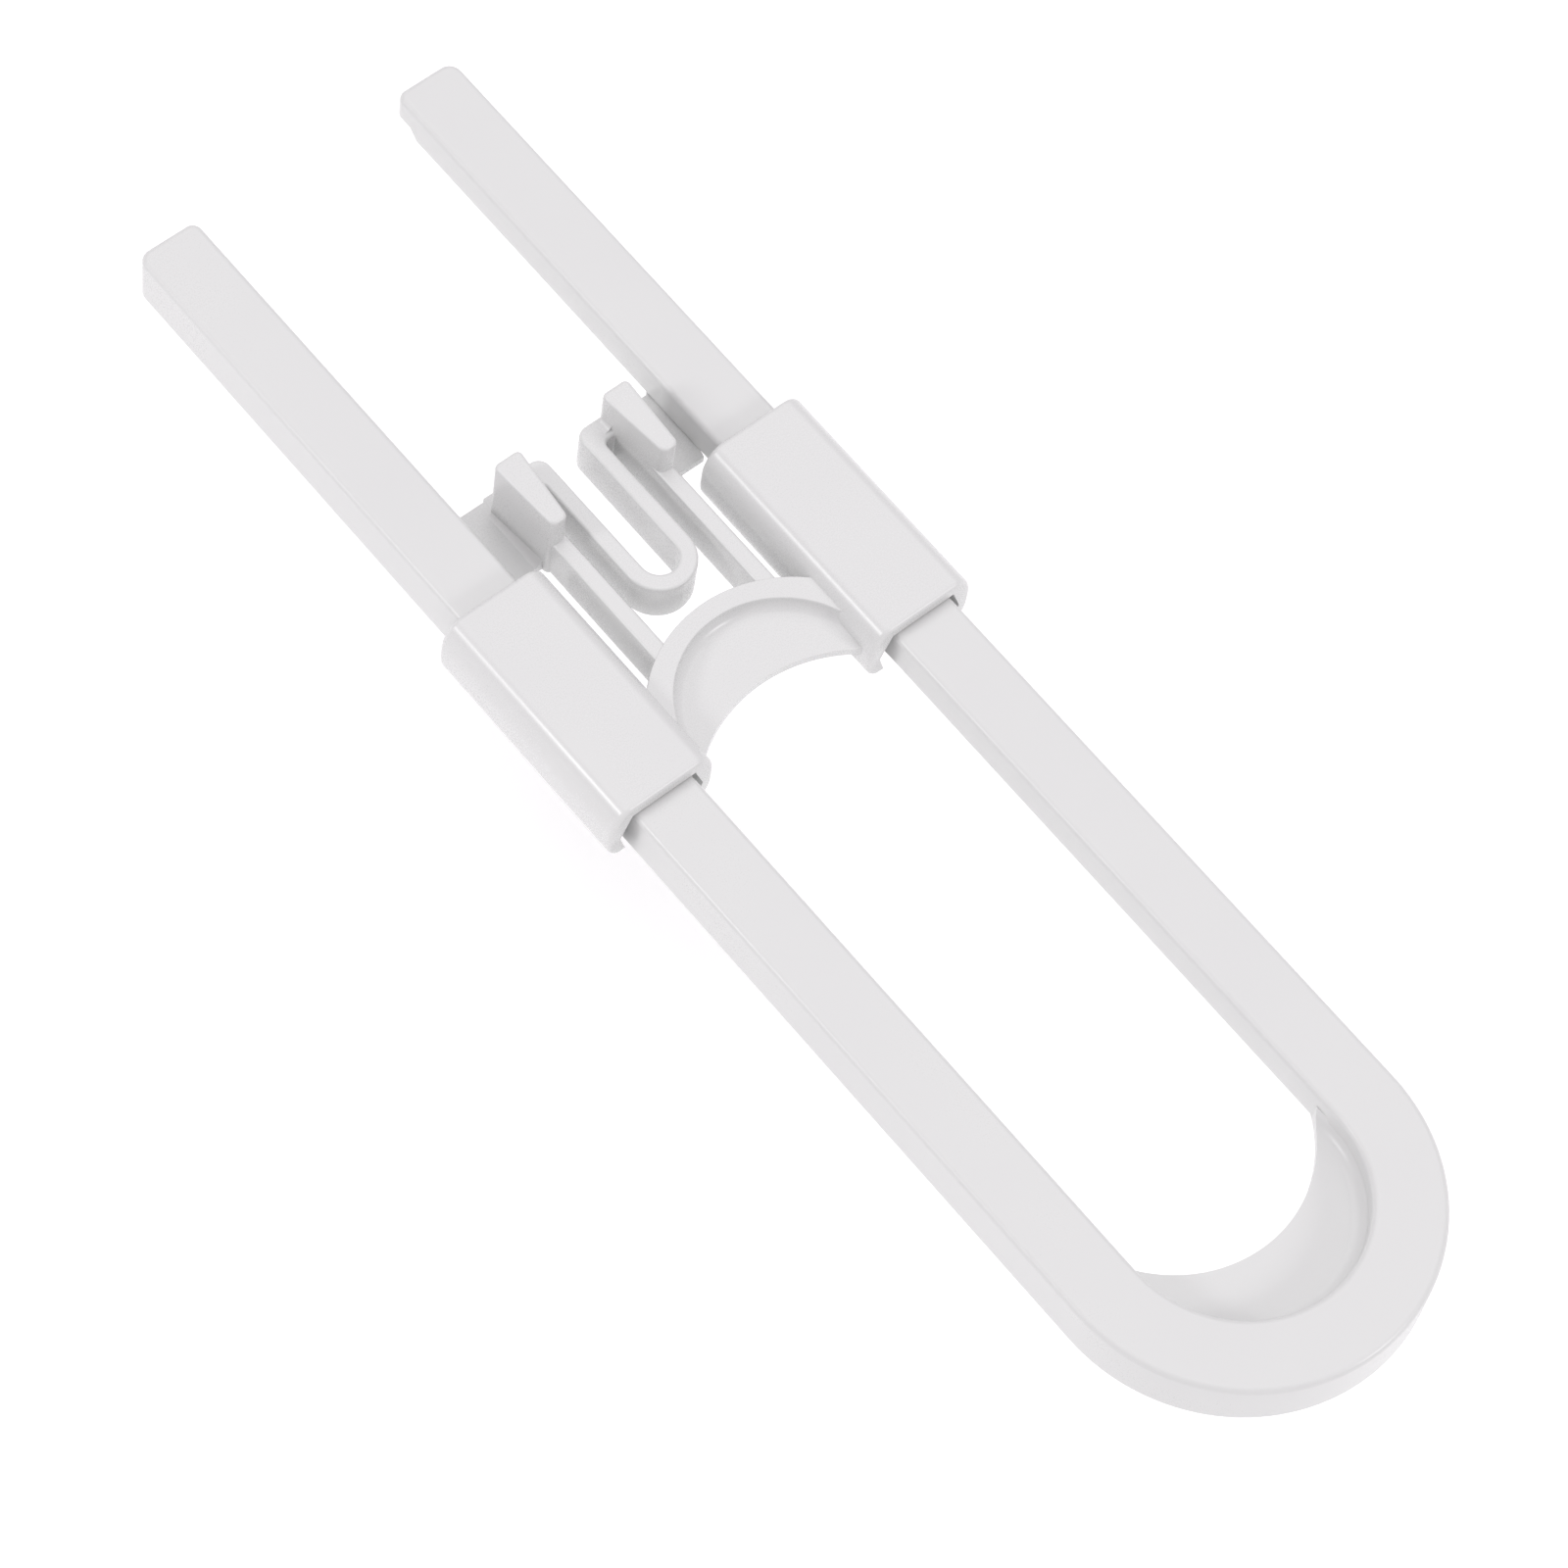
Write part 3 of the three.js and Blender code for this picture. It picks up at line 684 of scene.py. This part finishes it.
def tab_fillet():
    """The hollow corner between the right tab and the turn of the strip."""
    face = tab_low.x - TAB_SPREAD + TAB_FILLET_SINK
    back, foot = face + TAB_FILLET_BACK, strip_top - TAB_FILLET_FOOT
    out, up = face - TAB_FILLET - TAB_FILLET_RUN, strip_top + TAB_FILLET + TAB_FILLET_RUN
    section = [(back, foot), (back, up), (face, up), (face, strip_top), (out, strip_top),
               (out, foot)]
    return bar(section, turn_low.y + TAB_FILLET_START, turn_high.y - TAB_FILLET_END,
               [((face, strip_top), TAB_FILLET)])


def pawl_root():
    """The end of the pawl plate, where it passes under the right arm."""
    return block((arm_low.x + PAWL_ROOT_IN, pawl_low.y, pawl_low.z + PAWL_SKIN),
                 (arm_high.x + SEAM_GAP + PAWL_LAP, pawl_high.y - PAWL_END_SKIN,
                  pawl_high.z - PAWL_SKIN))


def pawl_fillet():
    """The hollow corner between the right arm and its pawl plate."""
    back, foot = arm_high.x - PAWL_FILLET_BACK, arm_low.z + PAWL_FILLET_LIFT
    plate_top = pawl_low.z + PAWL_TOP
    run = PAWL_FILLET + PAWL_FILLET_RUN
    out, up = arm_high.x + run, plate_top + run
    section = [(back, foot), (out, foot), (out, plate_top), (arm_high.x, plate_top),
               (arm_high.x, up), (back, up)]
    return bar(section, pawl_low.y + PAWL_END_SKIN, tab_high.y - PAWL_FILLET_END,
               [((arm_high.x, plate_top), PAWL_FILLET)])


print("tab:", round(tab_high.z - strip_top, 2), "above the strip")

# %% [markdown]
# The left latch is the right one in a mirror. Each side's pieces are joined into one skin,
# and the two halves of the spring meet on the middle plane.

right_solids = [latch_strip(), tab(), tab_fillet(), pawl_fillet(), pawl_root()]
left_solids = [mirrored(part) for part in right_solids]
latches = []
for side, solids in (("right", right_solids), ("left", left_solids)):
    latch = finish_mesh(moulding(f"{side}_latch_spring", solids))
    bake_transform(latch)
    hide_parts(*(f"{side}_{part}" for part in
                         ("squeeze_arm", "arm_turn", "spring_limb", "finger_tab")))
    latches.append(latch)
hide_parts("spring_bend")

# %% [markdown]
# ## Shader maths
#
# A node tree is easier to read as a formula. This class wraps one socket, so that a sum of
# two wires adds the Math node that works it out. Any other node comes from one method,
# which sets the node up first and then fills its sockets with values or links.

# %% A wire


class Wire:
    """A socket that can be added, multiplied and so on, which adds the Math nodes."""

    def __init__(self, tree, socket):
        self.tree = tree
        self.socket = socket

    def node(self, kind, settings=None, **links):
        """Any node, with its settings first. slot_6 is a socket's number, Height a name."""
        made = self.tree.nodes.new(kind)
        for name, value in (settings or {}).items():
            setattr(made, name, value)
        for name, value in links.items():
            key = name.replace("_", " ")
            socket = made.inputs[int(key[5:]) if key.startswith("slot ") else key]
            if isinstance(value, Wire):
                self.tree.links.new(value.socket, socket)
            else:
                socket.default_value = value
        return made

    def out(self, kind, output, settings=None, **links):
        """The wire that leaves such a node."""
        return Wire(self.tree, self.node(kind, settings, **links).outputs[output])

    def maths(self, operation, first, second):
        made = self.node("ShaderNodeMath", {"operation": operation}, slot_0=first, slot_1=second)
        return Wire(self.tree, made.outputs[0])

    def __add__(self, other):
        return self.maths("ADD", self, other)

    __radd__ = __add__

    def __sub__(self, other):
        return self.maths("SUBTRACT", self, other)

    def __rsub__(self, other):
        return self.maths("SUBTRACT", other, self)

    def __mul__(self, other):
        return self.maths("MULTIPLY", self, other)

    __rmul__ = __mul__

    def over(self, threshold):
        return self.maths("GREATER_THAN", self, threshold)


# %% [markdown]
# ## White plastic
#
# Satin ABS is nearly white and slightly glossy. Its mould was textured by fine sparks, so
# the gloss breaks up at a tenth of a millimetre, and slow flow marks change it a little over
# centimetres. A few dark specks are trapped in it. Noise in several sizes gives all three.

# %% White ABS
FLOW_SCALE = 38.0
SPARK_SCALE = 5200.0
SPECK_SCALE = 95.0
SPECK_RADIUS = 0.022
SPECK_RARENESS = 0.93     # the share of noise cells that have no speck
SPECK_STRENGTH = 0.35
SPECK_COLOUR = (0.25, 0.22, 0.21, 1)
GLOSS_SWING = 0.10
FLOW_RELIEF = 3.0         # height of the flow marks, in sparks
RELIEF_STRENGTH = 0.06
RELIEF_DEPTH = 0.00004
ABS_IOR = 1.53


def white_abs(name, colour, shade, roughness, seed):
    """Satin white ABS with flow marks, spark texture and a few specks."""
    material = bpy.data.materials.new(name)
    material.use_nodes = True
    tree = material.node_tree
    shader = tree.nodes["Principled BSDF"]
    start = Wire(tree, None)
    place = start.out("ShaderNodeTexCoord", "Object")
    moved = start.out("ShaderNodeMapping", "Vector", Vector=place, Location=(seed, seed, 0))
    flow = start.out("ShaderNodeTexNoise", "Fac", Vector=moved, Scale=FLOW_SCALE, Detail=3.0)
    sparks = start.out("ShaderNodeTexNoise", "Fac", Vector=moved, Scale=SPARK_SCALE, Detail=2.0)
    cells = start.node("ShaderNodeTexVoronoi", None, Vector=moved, Scale=SPECK_SCALE)
    distance = Wire(tree, cells.outputs["Distance"])
    picked = start.node("ShaderNodeSeparateColor", None, Color=Wire(tree, cells.outputs["Color"]))
    rare = Wire(tree, picked.outputs["Red"]).over(SPECK_RARENESS)
    speck = (1 - distance.over(SPECK_RADIUS)) * rare
    tone = start.out("ShaderNodeMix", 2, {"data_type": "RGBA"}, Factor=flow,
                     slot_6=(*colour, 1), slot_7=(*shade, 1))
    spotted = start.out("ShaderNodeMix", 2, {"data_type": "RGBA"}, Factor=speck * SPECK_STRENGTH,
                        slot_6=tone, slot_7=SPECK_COLOUR)
    gloss = roughness + GLOSS_SWING * (flow - 0.5) + GLOSS_SWING * (sparks - 0.5)
    bump = start.out("ShaderNodeBump", "Normal", Strength=RELIEF_STRENGTH,
                     Distance=RELIEF_DEPTH, Height=sparks + FLOW_RELIEF * flow)
    for socket, wire in (("Base Color", spotted), ("Roughness", gloss), ("Normal", bump)):
        tree.links.new(wire.socket, shader.inputs[socket])
    shader.inputs["IOR"].default_value = ABS_IOR
    return material


bow_plastic = white_abs("bow_white_abs", colour=(0.703, 0.709, 0.699),
                        shade=(0.684, 0.687, 0.684), roughness=0.30, seed=0.0)
slide_plastic = white_abs("slide_white_abs", colour=(0.708, 0.714, 0.704),
                          shade=(0.689, 0.692, 0.689), roughness=0.27, seed=0.7)

# %% [markdown]
# The new pieces take one material each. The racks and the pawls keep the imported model's
# meshes, so only the materials in their slots change.

# %% Put the materials on
for piece, plastic in ((bow, bow_plastic), (slide, slide_plastic),
                       (latches[0], slide_plastic), (latches[1], slide_plastic)):
    piece.data.materials.clear()
    piece.data.materials.append(plastic)
for name, plastic in (("left_rack", bow_plastic), ("right_rack", bow_plastic),
                      ("left_pawl", slide_plastic), ("right_pawl", slide_plastic)):
    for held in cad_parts[name].material_slots:
        held.material = plastic
print("materials:", bow_plastic.name, slide_plastic.name)

# %% [markdown]
# ## Floor
#
# A plain pale floor lies a little below the lock and glows faintly, so that it looks white
# through the openings and no contact shadow greys the lock's underside.

# %% Floor
FLOOR_SIZE = 6.0
FLOOR_DROP = 0.05
floor_mesh = bmesh.new()
bmesh.ops.create_grid(floor_mesh, x_segments=1, y_segments=1, size=FLOOR_SIZE / 2)
bmesh.ops.translate(floor_mesh, verts=floor_mesh.verts, vec=(0, 0, -FLOOR_DROP))
backdrop = keep("pale_floor", floor_mesh)
pale = bpy.data.materials.new("pale_floor")
pale.use_nodes = True
pale_shader = pale.node_tree.nodes["Principled BSDF"]
for socket, value in (("Base Color", (0.95, 0.95, 0.95, 1)), ("Roughness", 0.9),
                      ("Emission Color", (1, 1, 1, 1)), ("Emission Strength", 0.2)):
    pale_shader.inputs[socket].default_value = value
backdrop.data.materials.append(pale)
print("floor:", FLOOR_DROP, "below the lock")

# %% [markdown]
# ## Light
#
# A bright even sky fills every shadow, as a white tent does, and is slightly lilac, which
# shows in the shaded sides. A broad lamp above evens the tops out. Two small lamps, one
# beside the legs and one beyond the bend, draw the thin highlights along the edges.

# %% Light
SKY_STRENGTH = 0.60
SKY_COLOUR = (0.985, 0.945, 0.985, 1)
world = bpy.data.worlds.new("soft_sky")
world.use_nodes = True
world.node_tree.nodes["Background"].inputs["Color"].default_value = SKY_COLOUR
world.node_tree.nodes["Background"].inputs["Strength"].default_value = SKY_STRENGTH
bpy.context.scene.world = world


def soft_lamp(name, place, size, power):
    """A square area lamp at a place, in metres and watts, aimed at the lock's middle."""
    lamp = bpy.data.lights.new(name, "AREA")
    lamp.size = size
    lamp.energy = power
    held = bpy.data.objects.new(name, lamp)
    held.location = place
    held.rotation_euler = (-Vector(place)).to_track_quat("-Z", "Y").to_euler()
    bpy.context.scene.collection.objects.link(held)
    print(name, "at", place)


soft_lamp("tent_top", place=(0.15, 0.25, 1.5), size=2.0, power=12)
soft_lamp("leg_edge_light", place=(-1.20, 0.46, 0.78), size=0.3, power=4)
soft_lamp("end_edge_light", place=(0.54, -1.20, 0.72), size=0.3, power=4)
bpy.context.scene.view_settings.view_transform = "Standard"

# %% [markdown]
# ## Camera
#
# The camera looks down steeply along the legs with a long lens. Its three axes are the
# direction that it looks in, the direction of its right-hand side, and their cross product.
# Making the second one square to the first keeps the picture from shearing.

# %% Camera
CAMERA_PLACE = (-0.3338, -0.2779, 0.7974)
CAMERA_LOOK = (0.3626, 0.3061, -0.8802)
CAMERA_RIGHT = (0.7644, -0.638, 0.0931)
FOCAL_LENGTH = 136.5
SENSOR_WIDTH = 36.0

look = Vector(CAMERA_LOOK).normalized()
right = Vector(CAMERA_RIGHT)
right = (right - right.dot(look) * look).normalized()
turn = Matrix((right, right.cross(look), -look)).transposed().to_4x4()
lens = bpy.data.cameras.new("camera")
lens.lens = FOCAL_LENGTH
lens.sensor_width = SENSOR_WIDTH
camera = bpy.data.objects.new("camera", lens)
camera.matrix_world = Matrix.Translation(CAMERA_PLACE) @ turn
bpy.context.scene.collection.objects.link(camera)
bpy.context.scene.camera = camera
print("camera:", round(Vector(CAMERA_PLACE).length, 3), "from the lock's middle")
